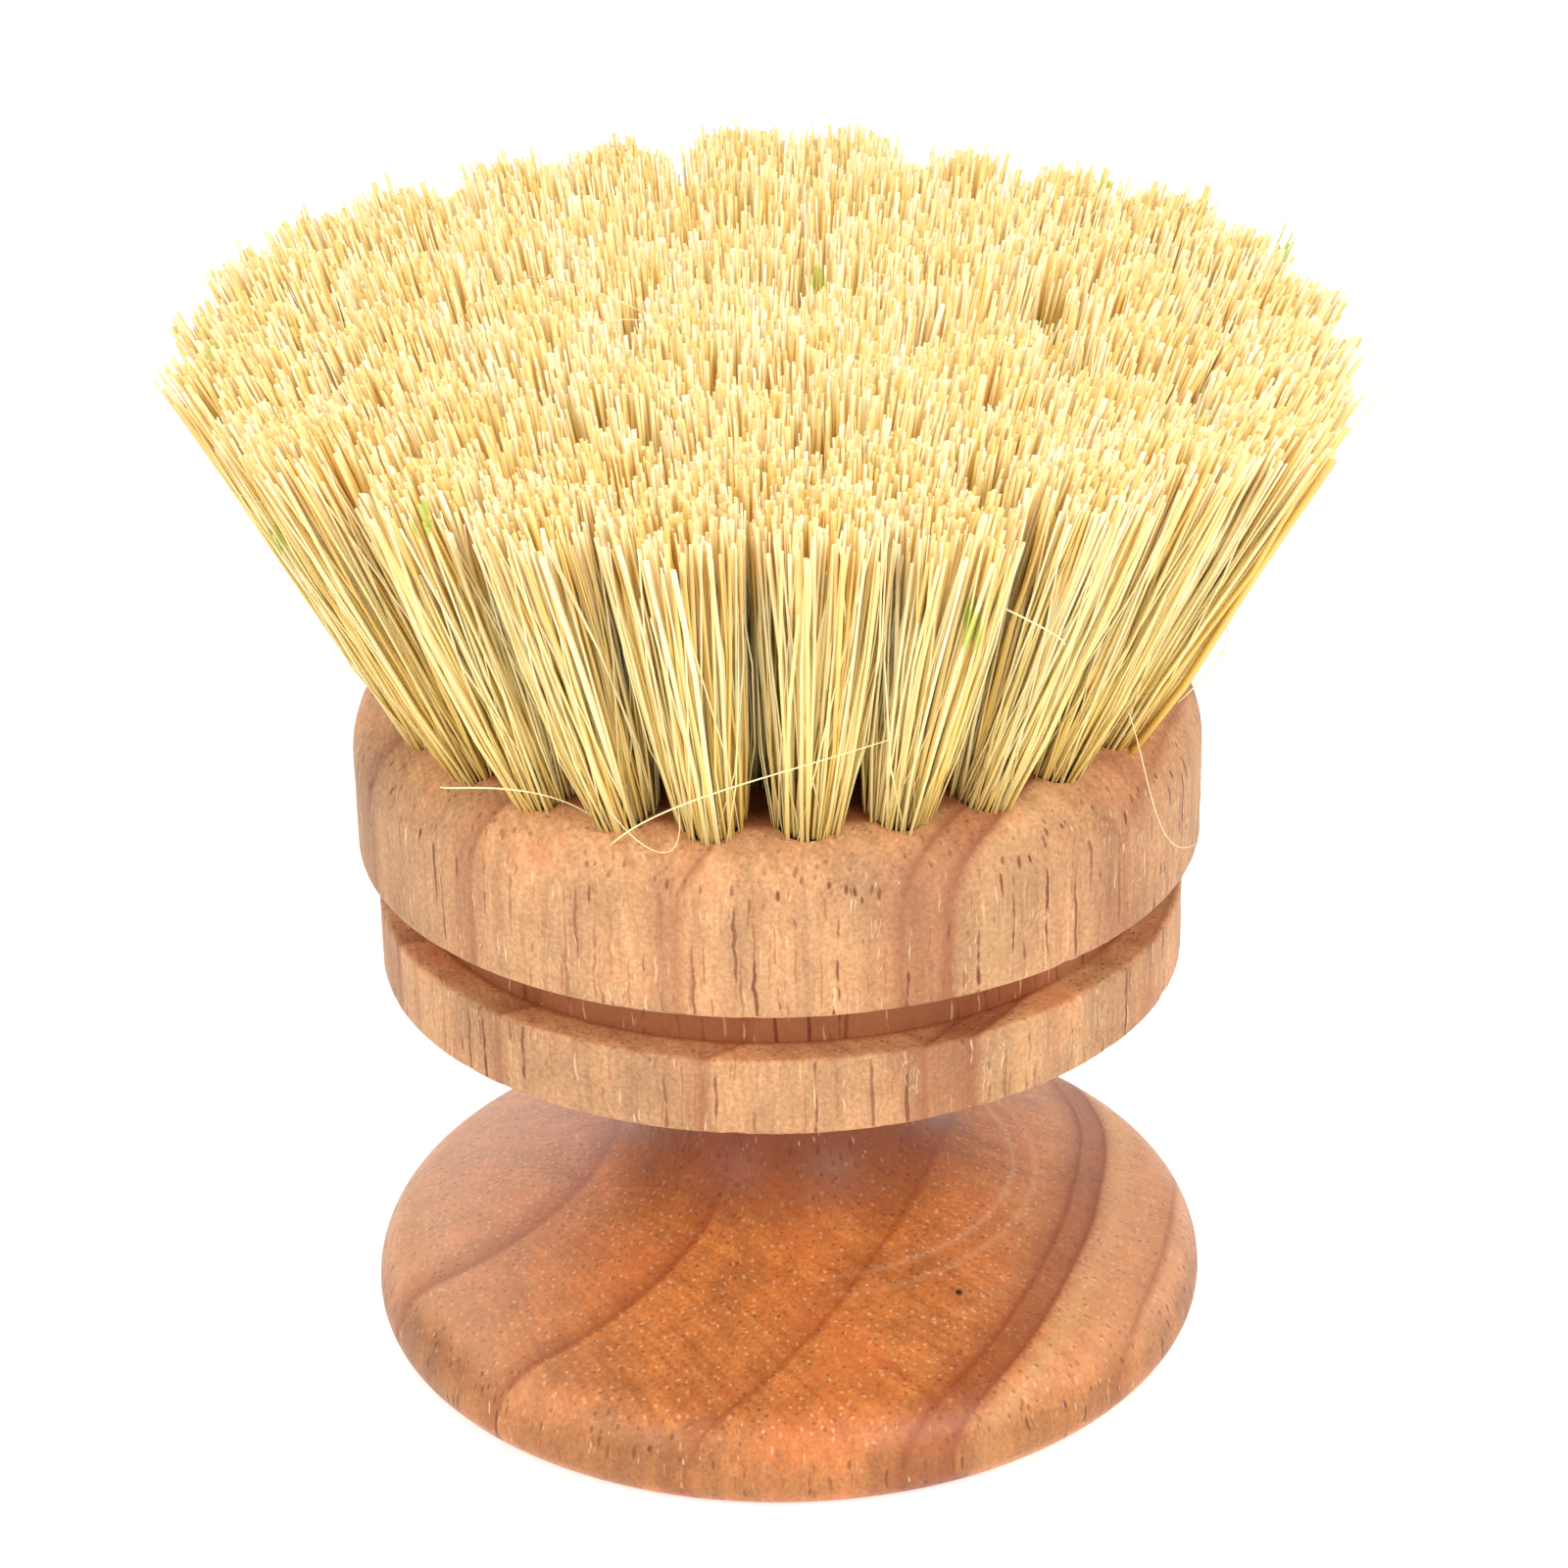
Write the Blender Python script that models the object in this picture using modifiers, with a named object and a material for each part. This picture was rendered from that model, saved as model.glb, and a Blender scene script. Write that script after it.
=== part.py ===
"""Round dish brush with a disc knob, in metres with +Z up.

One turned wooden body holds tufts of plant fibre in four rings of leaning blind holes.
The brush stands on its knob. The origin is the centre of the knob's foot, and -Y is the front.
"""

import math

import bmesh
import bpy
from mathutils import Matrix, Vector

OBJECT_NAME = "dish_brush"

# Knob, the disc that the palm holds: a rounded rim and a top that rises to the neck
KNOB_RADIUS = 0.0255
KNOB_FOOT_ROUNDING = 0.0020
KNOB_SHOULDER_ROUNDING = 0.0040
KNOB_TOP_SLOPE = math.radians(18.5)

# Neck, which the fingers go round: a wide flare below and a smaller fillet above
NECK_RADIUS = 0.0070
NECK_LENGTH = 0.0041
NECK_FLARE = 0.0080
NECK_FILLET = 0.0035

# Flange and the groove between it and the head
FLANGE_RADIUS = 0.0240
FLANGE_THICKNESS = 0.0047
GROOVE_WIDTH = 0.0032
GROOVE_DEPTH = 0.0023
EDGE_ROUNDING = 0.0005

# Head, whose flat face carries the tufts
HEAD_RADIUS = 0.0250
HEAD_THICKNESS = 0.0105
HEAD_SHOULDER_ROUNDING = 0.0046

# Rings of tufts, from the outer one inwards, and the angle from +X of each ring's first tuft
RING_COUNTS = (26, 17, 11, 4)
RING_TURNS = tuple(math.radians(turn) for turn in (10.9, 11.1, 0.0, 30.0))
RING_INSET = 0.0037
INNER_RING_RADIUS = 0.0039
OUTER_LEAN = math.radians(23.0)

# Blind holes, one for each tuft, along the tuft's own lean
HOLE_RADIUS = 0.00175
HOLE_DEPTH = 0.0080
CUT_OVERRUN = 0.0020

# Tuft root, the folded bundle that fills its hole and stands a little proud of it
ROOT_CLEARANCE = 0.0003
ROOT_PROUD = 0.0010
FOLD_RADIUS = 0.0011

# Anchor, the strip of flat wire that the bundle is folded over
ANCHOR_THICKNESS = 0.0005
ANCHOR_HEIGHT = 0.0014

# Strands, which fan out from the root to a level trim
BRISTLE_LENGTH = 0.0202
STRANDS_AROUND = 7
STRAND_ROOT_RADIUS = 0.00033
STRAND_TIP_RADIUS = 0.0009
STRAND_ROOT_CIRCLE = 0.00092
STRAND_SINK = 0.0006
TIP_GAP = 0.0004
TRIM_STAGGER = 0.0006

# Facets
BODY_SIDES = 48
HOLE_SIDES = 8
STRAND_SIDES = 4
MERGE_DISTANCE = 0.00001
SMOOTH_BELOW = math.radians(30.0)

# Heights above the foot, each stacked on the one below it
SHOULDER_END = Vector((
    KNOB_RADIUS - KNOB_SHOULDER_ROUNDING * (1 - math.sin(KNOB_TOP_SLOPE)),
    KNOB_FOOT_ROUNDING + KNOB_SHOULDER_ROUNDING * math.cos(KNOB_TOP_SLOPE),
))
FLARE_END_RADIUS = NECK_RADIUS + NECK_FLARE * (1 - math.sin(KNOB_TOP_SLOPE))
FLARE_END = SHOULDER_END.y + (SHOULDER_END.x - FLARE_END_RADIUS) * math.tan(KNOB_TOP_SLOPE)
NECK_BOTTOM = FLARE_END + NECK_FLARE * math.cos(KNOB_TOP_SLOPE)
NECK_TOP = NECK_BOTTOM + NECK_LENGTH
FLANGE_BOTTOM = NECK_TOP + NECK_FILLET
FLANGE_TOP = FLANGE_BOTTOM + FLANGE_THICKNESS
GROOVE_TOP = FLANGE_TOP + GROOVE_WIDTH
HEAD_TOP = GROOVE_TOP + HEAD_THICKNESS
TRIM_HEIGHT = HEAD_TOP + BRISTLE_LENGTH

ROOT_RADIUS = HOLE_RADIUS - ROOT_CLEARANCE


def clear_scene():
    for old in list(bpy.data.objects):
        bpy.data.objects.remove(old, do_unlink=True)


def new_collection(name):
    collection = bpy.data.collections.new(name)
    bpy.context.scene.collection.children.link(collection)
    return collection


def new_object(name, mesh, collection):
    made = bpy.data.objects.new(name, mesh)
    collection.objects.link(made)
    return made


def mesh_of(shape, name):
    """Turns a bmesh into a mesh and frees it."""
    mesh = bpy.data.meshes.new(name)
    shape.to_mesh(mesh)
    shape.free()
    return mesh


def evaluated_mesh(source, name):
    """The mesh that an object's modifiers make."""
    graph = bpy.context.evaluated_depsgraph_get()
    mesh = bpy.data.meshes.new_from_object(source.evaluated_get(graph))
    mesh.name = name
    return mesh


def material(name, colour, roughness):
    made = bpy.data.materials.new(name)
    made.use_nodes = True
    surface = made.node_tree.nodes["Principled BSDF"]
    surface.inputs["Base Color"].default_value = (*colour, 1.0)
    surface.inputs["Roughness"].default_value = roughness
    surface.inputs["Metallic"].default_value = 0.0
    made.diffuse_color = (*colour, 1.0)
    return made


def arc(centre_radius, centre_height, radius, start, end, steps):
    """Points of a turned profile along a round stretch, with the angles in degrees."""
    angles = [math.radians(start + (end - start) * step / steps) for step in range(steps + 1)]
    return [
        (centre_radius + radius * math.cos(angle), centre_height + radius * math.sin(angle))
        for angle in angles
    ]


def head_profile():
    shoulder = HEAD_SHOULDER_ROUNDING
    edge = EDGE_ROUNDING
    floor = FLANGE_RADIUS - GROOVE_DEPTH
    return [
        (0, HEAD_TOP),
        *arc(HEAD_RADIUS - shoulder, HEAD_TOP - shoulder, shoulder, 90, 0, 5),
        *arc(HEAD_RADIUS - edge, GROOVE_TOP + edge, edge, 0, -90, 2),
        (floor, GROOVE_TOP),
        (floor, FLANGE_TOP),
        *arc(FLANGE_RADIUS - edge, FLANGE_TOP - edge, edge, 90, 0, 1),
        *arc(FLANGE_RADIUS - edge, FLANGE_BOTTOM + edge, edge, 0, -90, 2),
    ]


def knob_profile():
    slope = math.degrees(KNOB_TOP_SLOPE)
    shoulder = KNOB_SHOULDER_ROUNDING
    foot = KNOB_FOOT_ROUNDING
    return [
        *arc(NECK_RADIUS + NECK_FILLET, NECK_TOP, NECK_FILLET, 90, 180, 4),
        *arc(NECK_RADIUS + NECK_FLARE, NECK_BOTTOM, NECK_FLARE, 180, 270 - slope, 6),
        *arc(KNOB_RADIUS - shoulder, foot, shoulder, 90 - slope, 0, 4),
        *arc(KNOB_RADIUS - foot, foot, foot, 0, -90, 3)[1:],
        (0, 0),
    ]


def turned(name, profile, collection):
    """A solid of revolution about Z, from a profile that runs from its top down to its bottom."""
    outline = bmesh.new()
    points = [outline.verts.new((radius, 0, height)) for radius, height in profile]
    for above, below in zip(points, points[1:]):
        outline.edges.new((above, below))
    made = new_object(name, mesh_of(outline, name), collection)
    screw = made.modifiers.new("turn", "SCREW")
    screw.axis = "Z"
    screw.steps = BODY_SIDES
    screw.render_steps = BODY_SIDES
    screw.use_merge_vertices = True
    screw.merge_threshold = MERGE_DISTANCE
    return made


def ring_radius(ring):
    """Radius of a ring, with the rings evenly spaced from the outer one to the inner one."""
    outer = HEAD_RADIUS - RING_INSET
    return outer + (INNER_RING_RADIUS - outer) * ring / (len(RING_COUNTS) - 1)


def ring_lean(ring):
    """The lean grows with the ring's radius, so all the tufts point away from one spot below the head."""
    return math.atan(math.tan(OUTER_LEAN) * ring_radius(ring) / ring_radius(0))


def face_height(radius):
    """Height of the head's face, which falls away over its rounded shoulder."""
    past_flat = radius - (HEAD_RADIUS - HEAD_SHOULDER_ROUNDING)
    if past_flat <= 0:
        return HEAD_TOP
    drop = HEAD_SHOULDER_ROUNDING - math.sqrt(HEAD_SHOULDER_ROUNDING**2 - past_flat**2)
    return HEAD_TOP - drop


def leaning(ring, low, high):
    """The matrix that lays a shape along a tuft's axis, from one distance above the hole's mouth to another."""
    return Matrix.Rotation(ring_lean(ring), 4, "Y") @ Matrix.Translation((0, 0, (low + high) / 2))


def hole_cutter_mesh(ring):
    shape = bmesh.new()
    bmesh.ops.create_cone(
        shape,
        cap_ends=True,
        segments=HOLE_SIDES,
        radius1=HOLE_RADIUS,
        radius2=HOLE_RADIUS,
        depth=HOLE_DEPTH + CUT_OVERRUN,
        matrix=leaning(ring, -HOLE_DEPTH, CUT_OVERRUN),
    )
    return mesh_of(shape, f"hole_ring{ring + 1}")


def root_mesh(ring):
    """The folded bundle, which narrows down to the fold at the middle of its anchor."""
    low = ROOT_CLEARANCE + ANCHOR_HEIGHT / 2 - HOLE_DEPTH
    shape = bmesh.new()
    bmesh.ops.create_cone(
        shape,
        cap_ends=True,
        segments=HOLE_SIDES,
        radius1=FOLD_RADIUS,
        radius2=ROOT_RADIUS,
        depth=ROOT_PROUD - low,
        matrix=leaning(ring, low, ROOT_PROUD),
    )
    return mesh_of(shape, f"root_ring{ring + 1}")


def anchor_mesh(ring):
    low = ROOT_CLEARANCE - HOLE_DEPTH
    strip = Matrix.Diagonal((ANCHOR_THICKNESS, 2 * ROOT_RADIUS, ANCHOR_HEIGHT, 1))
    shape = bmesh.new()
    bmesh.ops.create_cube(shape, size=1, matrix=leaning(ring, low, low + ANCHOR_HEIGHT) @ strip)
    return mesh_of(shape, f"anchor_ring{ring + 1}")


def add_strand(shape, root, tip):
    """A four-sided strand with level ends, sheared so that it runs from root to tip."""
    run = tip - root
    middle = root + run / 2
    shear = Matrix((
        (1, 0, run.x / run.z, middle.x),
        (0, 1, run.y / run.z, middle.y),
        (0, 0, 1, middle.z),
        (0, 0, 0, 1),
    ))
    bmesh.ops.create_cone(
        shape,
        cap_ends=True,
        segments=STRAND_SIDES,
        radius1=STRAND_ROOT_RADIUS,
        radius2=STRAND_TIP_RADIUS,
        depth=run.z,
        matrix=shear,
    )


def strands_mesh(ring):
    """One strand up the middle and the rest round it, spread at the trim to meet the next tuft."""
    lean = ring_lean(ring)
    rise = TRIM_HEIGHT - face_height(ring_radius(ring))
    trim_radius = ring_radius(ring) + rise * math.tan(lean)
    half_pitch = trim_radius * math.sin(math.pi / RING_COUNTS[ring])
    half_spacing = (ring_radius(0) - ring_radius(1)) / 2 * trim_radius / ring_radius(ring)
    tip_circle = min(half_pitch, half_spacing) - TIP_GAP / 2 - STRAND_TIP_RADIUS
    tilt = Matrix.Rotation(lean, 4, "Y")
    root_middle = tilt @ Vector((0, 0, ROOT_PROUD - STRAND_SINK))
    tip_middle = Vector((rise * math.tan(lean), 0, rise))
    shape = bmesh.new()
    add_strand(shape, root_middle, tip_middle)
    for strand in range(STRANDS_AROUND):
        angle = 2 * math.pi * strand / STRANDS_AROUND
        outwards = Vector((math.cos(angle), math.sin(angle), 0))
        root = root_middle + tilt @ outwards * STRAND_ROOT_CIRCLE
        shorter = Vector((0, 0, TRIM_STAGGER * (strand % 2)))
        add_strand(shape, root, tip_middle + outwards * tip_circle - shorter)
    return mesh_of(shape, f"strands_ring{ring + 1}")


def tuft_mesh(ring, helpers):
    """Root, anchor and strands joined into one closed body, with its origin at the hole's mouth."""
    root = new_object("root", root_mesh(ring), helpers)
    joined = [
        new_object("anchor", anchor_mesh(ring), helpers),
        new_object("strands", strands_mesh(ring), helpers),
    ]
    for helper in joined:
        union = root.modifiers.new(helper.name, "BOOLEAN")
        union.operation = "UNION"
        union.object = helper
    mesh = evaluated_mesh(root, f"tuft_ring{ring + 1}")
    for helper in (root, *joined):
        bpy.data.objects.remove(helper, do_unlink=True)
    return mesh


def place_in_ring(made, ring, tuft):
    turn = RING_TURNS[ring] + 2 * math.pi * tuft / RING_COUNTS[ring]
    radius = ring_radius(ring)
    made.location = (radius * math.cos(turn), radius * math.sin(turn), face_height(radius))
    made.rotation_euler = (0, 0, turn)


def main():
    clear_scene()
    parts = new_collection(OBJECT_NAME)
    cutters = new_collection("cutters")
    frame = new_object(OBJECT_NAME, None, parts)

    body = turned("turned_body", head_profile() + knob_profile(), parts)
    body.parent = frame
    body.data.materials.append(material("turned_hardwood", (0.62, 0.33, 0.16), 0.45))

    for ring, count in enumerate(RING_COUNTS):
        hole = hole_cutter_mesh(ring)
        tuft = tuft_mesh(ring, cutters)
        tuft.materials.append(material(f"plant_fibre_ring{ring + 1}", (0.86, 0.72, 0.39), 0.7))
        for index in range(count):
            number = f"ring{ring + 1}_{index + 1:02d}"
            cutter = new_object(f"hole_{number}", hole, cutters)
            cutter.hide_render = True
            cutter.display_type = "WIRE"
            bundle = new_object(f"tuft_{number}", tuft, parts)
            bundle.parent = frame
            place_in_ring(cutter, ring, index)
            place_in_ring(bundle, ring, index)

    holes = body.modifiers.new("tuft_holes", "BOOLEAN")
    holes.operation = "DIFFERENCE"
    holes.operand_type = "COLLECTION"
    holes.collection = cutters
    smooth = evaluated_mesh(body, "turned_body")
    body.modifiers.clear()
    body.data = smooth
    smooth.shade_smooth()
    smooth.set_sharp_from_angle(angle=SMOOTH_BELOW)


main()
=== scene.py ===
"""Looks of the round dish brush: a turned hardwood body, and tufts of pale plant fibre that fan out
of its holes."""

import math

import bmesh
import bpy
import numpy as np
from mathutils import Matrix, Vector


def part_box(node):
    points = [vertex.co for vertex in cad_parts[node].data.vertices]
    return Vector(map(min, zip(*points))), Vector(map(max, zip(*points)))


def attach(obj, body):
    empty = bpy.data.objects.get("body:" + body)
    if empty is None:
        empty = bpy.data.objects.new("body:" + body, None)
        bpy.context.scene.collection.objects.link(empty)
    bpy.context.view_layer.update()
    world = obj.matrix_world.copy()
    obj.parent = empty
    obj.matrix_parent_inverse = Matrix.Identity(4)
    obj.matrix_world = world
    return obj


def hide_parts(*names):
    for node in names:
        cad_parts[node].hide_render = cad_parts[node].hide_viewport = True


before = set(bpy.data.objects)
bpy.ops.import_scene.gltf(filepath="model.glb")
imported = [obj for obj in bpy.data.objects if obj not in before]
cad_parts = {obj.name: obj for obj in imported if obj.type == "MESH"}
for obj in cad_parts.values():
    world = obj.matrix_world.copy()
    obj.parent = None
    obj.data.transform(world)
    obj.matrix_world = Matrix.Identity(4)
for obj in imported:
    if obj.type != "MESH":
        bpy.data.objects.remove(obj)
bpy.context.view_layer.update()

MM = 0.001

# Sizes of the turned body, the same as in the frame
BODY_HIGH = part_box("turned_body")[1]
KNOB_RADIUS = BODY_HIGH.x
KNOB_FOOT_ROUNDING = 2.0 * MM
KNOB_SHOULDER_ROUNDING = 4.0 * MM
KNOB_TOP_SLOPE = math.radians(18.5)
NECK_RADIUS = 7.0 * MM
NECK_FLARE = 8.0 * MM
NECK_FILLET = 3.5 * MM
FLANGE_RADIUS = 24.0 * MM
FLANGE_THICKNESS = 4.7 * MM
GROOVE_WIDTH = 3.2 * MM
GROOVE_DEPTH = 2.3 * MM
EDGE_ROUNDING = 0.3 * MM
HEAD_RADIUS = 25.0 * MM
HEAD_THICKNESS = 10.5 * MM
HEAD_SHOULDER_ROUNDING = 4.6 * MM
HEAD_TOP = BODY_HIGH.z
GROOVE_TOP = HEAD_TOP - HEAD_THICKNESS
FLANGE_TOP = GROOVE_TOP - GROOVE_WIDTH
FLANGE_BOTTOM = FLANGE_TOP - FLANGE_THICKNESS
GROOVE_FLOOR = FLANGE_RADIUS - GROOVE_DEPTH

# Rings of tufts, the same as in the frame
RING_COUNTS = (26, 17, 11, 4)
RING_TURNS = tuple(math.radians(turn) for turn in (10.9, 11.1, 0.0, 30.0))
RING_INSET = 3.7 * MM
RING_SPACING = 5.8 * MM
OUTER_LEAN = math.radians(23.0)
HOLE_RADIUS = 1.75 * MM
HOLE_DEPTH = 8.0 * MM
TRIM_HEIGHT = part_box("tuft_ring1_01")[1].z

# Turned body's mesh, and the faint ripple that the tool left on it
BODY_SIDES = 384
ARC_STEP = 0.3 * MM
FLAT_STEP = 0.7 * MM
SHARP_ANGLE = math.radians(38.0)
HOLE_SIDES = 24
CUTTER_OVERRUN = 2.0 * MM
TOOL_RIPPLE = 0.03 * MM
RIPPLES_PER_MM = 2.1
RIPPLE_LOBES = 5

# Small chips along the sharp edges: most places have none, and a chip spills over to the next place. Each
# edge has its radius, its height and how deep its chips are.
CHIP_DEPTH = 0.26 * MM
CHIP_REACH = 0.32 * MM
CHIP_MEAN, CHIP_VARIATION, CHIP_MOST = -0.5, 0.7, 1.2
CHIP_SPILL = 0.6
CHIPPED_EDGES = (
    (FLANGE_RADIUS, FLANGE_TOP, 1.0),
    (FLANGE_RADIUS, FLANGE_BOTTOM, 0.6),
    (HEAD_RADIUS, GROOVE_TOP, 0.5),
)

# Wood fuzz: short slivers that the lathe tore up along the open vessels, in patches. Each turned wall has
# its radius, its ends and its share of the patches.
SLIVERS = 900
SLIVER_PATCHES = 90
SLIVER_WALLS = (
    (HEAD_RADIUS, GROOVE_TOP + EDGE_ROUNDING, HEAD_TOP - HEAD_SHOULDER_ROUNDING, 0.55),
    (FLANGE_RADIUS, FLANGE_BOTTOM + EDGE_ROUNDING, FLANGE_TOP - EDGE_ROUNDING, 0.37),
    (GROOVE_FLOOR, FLANGE_TOP + EDGE_ROUNDING, GROOVE_TOP - EDGE_ROUNDING, 0.08),
)
PATCH_WIDTH = 0.22 * MM
PATCH_HEIGHT = 1.1 * MM
SLIVER_WIDTH = 0.045 * MM
SLIVER_WIDTH_SHARES = (0.6, 1.3)
SLIVER_POINTED = 0.7
SLIVER_LENGTH = (0.25 * MM, 0.9 * MM)
SLIVER_SLANT = 0.10 * MM
SLIVER_CURL = 0.03 * MM
SLIVER_CURLS = (1.0, 2.5)
SLIVER_LIFT = 0.08 * MM
SLIVER_HELD_AT = 0.4
SLIVER_FLATNESS = 0.6
SLIVER_POINTS = 5
SLIVER_SIDES = 4

# Fibres of one tuft
FIBRES = 320
FIBRE_SIDES = 4
FIBRE_RINGS = 4
FIBRE_START = 2.5 * MM
FIBRE_WIDTH = 0.215 * MM
FIBRE_WIDTHS = (0.09 * MM, 0.50 * MM)
FIBRE_FLATNESS = (0.6, 1.0)
WIDTH_VARIATION = 0.34
THINNER_ROOT = 0.12
THICKNESS_WAVER = 0.05
FIBRE_BEND = 0.26 * MM
SECOND_BEND = 0.4
SLANTED_CUT = 1.1

# The fibres in a tuft's core swell to fill it, and are painted more golden: painted shade deep in the tuft
CORE_REACH = 0.62
CORE_SWELL = 0.7
CORE_SWELL_SKEW = 0.8
CORE_SHADE_TONE = 0.5

# How a tuft's fibres scatter, in shares of the hole at their roots and of the tuft's room at their tips.
# They lean together in clumps, and none goes past the fan's limit.
ROOT_JITTER = 0.06
CLUMPS = 9
CLUMP_SPREAD = 0.12
TIP_SCATTER = 0.19
FAN_LIMIT = 1.08

# The room that a tuft has at its tips: a gap to its neighbours, and a share more for each ring further in.
# Each tuft strays a little, and the whole fan is slightly closed and shifted, as in the photograph.
TIP_GAP = 0.12 * MM
INNER_SPREAD = 0.05
TUFT_STRAY = 0.36 * MM
FAN_CLOSING = 0.985
FAN_SHIFT = 0.4 * MM

# The ragged trim: a little above the frame's, higher at the back, and drooping at the right. Each tuft has
# its own height and a slight dome, and a few of its fibres are cut short.
TRIM_ABOVE = 1.1 * MM
TRIM_RISE = 0.012
TRIM_DROOP = 0.045
DROOP_FROM = 12.0 * MM
TUFT_HEIGHTS = 0.50 * MM
TRIM_ROUGHNESS = 0.36 * MM
TRIM_DOME = 0.85 * MM
DOME_LIMIT = 1.2
SHORT_FIBRE_SHARE = 0.05
SHORTENED = (0.8 * MM, 5.0 * MM)

# Thin fibres that cross over the outside of a tuft
CROSSING_SHARE = 0.065
CROSSING_WIDTH = 0.12 * MM
CROSSING_TURN = (math.radians(25.0), math.radians(110.0))
CROSSING_LIFT = 0.12 * MM
CROSSING_TONE = 0.85

# How pale a fibre is, from 0 to 1: how far the tufts' middles differ, and the most golden that one gets
TONE_RAISED = 0.02
TONE_SHIFT = 0.06
TONE_FLOOR = 0.05

# Places where the leaf kept its green, in millimetres, each with half its length up the fibre
GREEN_SPOTS = (
    ((10.1, -29.0, 56.8), 2.4), ((-17.9, -27.0, 63.0), 1.2), ((-31.4, -2.0, 62.5), 1.6),
    ((-26.6, 3.0, 62.8), 1.4), ((8.2, 32.0, 62.5), 1.5), ((31.0, 14.5, 62.5), 1.5),
    ((16.5, -24.5, 62.8), 1.0), ((21.0, 25.0, 62.8), 1.0), ((-27.2, -12.0, 55.8), 1.3),
    ((-19.0, 24.5, 57.0), 2.0), ((27.5, 10.0, 55.0), 1.4), ((3.0, 9.5, 62.8), 0.9),
)
GREEN_SPOT_REACH = (0.55 * MM, 1.8 * MM)
GREEN_SPOT_EDGE = 0.8
GREEN_SPOT_COVER = 0.85

# Loose hairs, in millimetres: the points that each passes, and its width
HAIRS = (
    (((-18.8, -14.6, 42.0), (-14.3, -20.4, 44.4), (-11.5, -19.9, 43.3), (-9.8, -20.1, 42.2)), 0.11),
    (((-9.5, -21.7, 41.5), (-7.4, -22.8, 43.1), (-5.3, -25.8, 46.0), (-1.1, -27.0, 47.8),
      (1.6, -26.7, 48.7), (3.6, -26.8, 49.0), (5.8, -25.6, 49.4)), 0.10),
    (((-9.6, -23.6, 47.7), (-8.2, -22.4, 42.9), (-7.0, -23.3, 41.6), (-6.0, -23.4, 42.2),
      (-5.4, -24.2, 45.1)), 0.07),
    (((19.4, -15.4, 45.9), (20.5, -15.0, 42.4), (20.6, -15.0, 40.4), (22.0, -13.6, 37.2),
      (23.8, -10.6, 35.3)), 0.06),
    (((11.8, -28.2, 57.9), (13.8, -28.6, 56.9), (15.0, -25.0, 54.3)), 0.10),
    (((-27.4, -13.0, 58.4), (-29.4, -14.0, 59.7), (-31.9, -14.0, 60.9), (-34.6, -14.0, 62.3)), 0.06),
    (((-22.6, -11.0, 47.5), (-24.8, -12.0, 48.0), (-28.4, -12.0, 48.7), (-32.4, -12.0, 49.7)), 0.05),
    (((25.4, -11.0, 50.2), (27.2, -12.0, 54.0), (31.1, -12.0, 60.3), (33.9, -12.0, 64.0)), 0.16),
    (((-14.9, 12.8, 62.0), (-10.3, 4.9, 64.1), (-4.4, 0.7, 62.6)), 0.08),
    (((-12.8, 0.2, 62.2), (-9.1, -0.1, 63.9), (-4.7, 1.8, 62.4)), 0.08),
    (((-32.5, 3.2, 61.6), (-28.6, 1.1, 63.4), (-25.3, 1.3, 62.4)), 0.07),
)
HAIR_POINTS = 28
HAIR_SIDES = 5
HAIR_CURVE_ORDER = 3
HAIR_TURNS = tuple(math.radians(turn) for turn in (0.0, 128.0, 226.0))
HAIR_SKIPPED = 0.5
HAIR_THINNING = 0.5
HAIR_FLATNESS = 0.8
HAIR_FACING = (0.0, -1.0, 0.35)
HAIR_TONE = 0.9
HAIR_ALONG = 0.6

# Growth rings of the blank: how dark the wood is at each distance from the pith, in millimetres. Each ring
# darkens slowly outwards and ends at a sharp line. One band is paler. The tool marks run round the axis.
PITH = (-24.0 * MM, 5.0 * MM)
RINGS_SEEN_TO = 56.0
GROWTH_RINGS = (
    (11.2, 0.0), (13.2, 0.45), (13.7, 0.7), (14.1, 0.0),
    (22.3, 0.0), (23.95, 0.5), (24.2, 1.0), (24.45, 0.0),
    (32.4, 0.0), (33.95, 0.4), (34.2, 0.85), (34.45, 0.0),
    (40.7, 0.0), (42.1, 0.5), (42.4, 1.0), (42.65, 0.6), (43.6, 0.7), (44.0, 1.0), (44.25, 0.0),
    (47.1, 0.0), (48.15, 0.3), (48.4, 0.7), (48.65, 0.0),
)
PALE_BAND = ((44.3, 0.0), (45.1, 1.0), (46.2, 0.0))
TOOL_MARKS = (
    (13.7, 0.0), (14.0, 1.0), (14.3, 0.0), (15.1, 0.0), (15.4, 0.8), (15.7, 0.0),
    (18.3, 0.0), (18.5, 0.3), (18.7, 0.0),
)
TOOL_MARKS_FADE = 9.0 * MM
RING_DRIFT = 2.4 * MM
DRIFT_SIZE = 22.0 * MM
DRIFT_STRETCH = 0.3

# Single marks in the wood
KNOT = (10.0 * MM, -14.0 * MM, 7.6 * MM)
KNOT_RADIUS = 0.30 * MM
RED_PATCH = (18.5 * MM, -13.0 * MM, 37.0 * MM)
RED_PATCH_REACH = 7.5 * MM
# Painted sheen: the knob's sides are paler from and to these distances left and right of the middle
SHEEN_SIDES = (0.3 * KNOB_RADIUS, 0.95 * KNOB_RADIUS)

# Wood patterns, by their size across the grain. A stretch below 1 draws a pattern out along the grain.
WANDER = 0.45 * MM
WANDER_SIZE = 1.3 * MM
GRAIN_WIDTH = 0.16 * MM
GRAIN_STRETCH = 0.07
STREAK_WIDTH = 0.9 * MM
RAY_WIDTH = 0.22 * MM
RAY_LENGTH = 3.5 * MM
BLOTCH_SIZE = 7.0 * MM
GRIT_SIZE = 0.13 * MM

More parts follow.
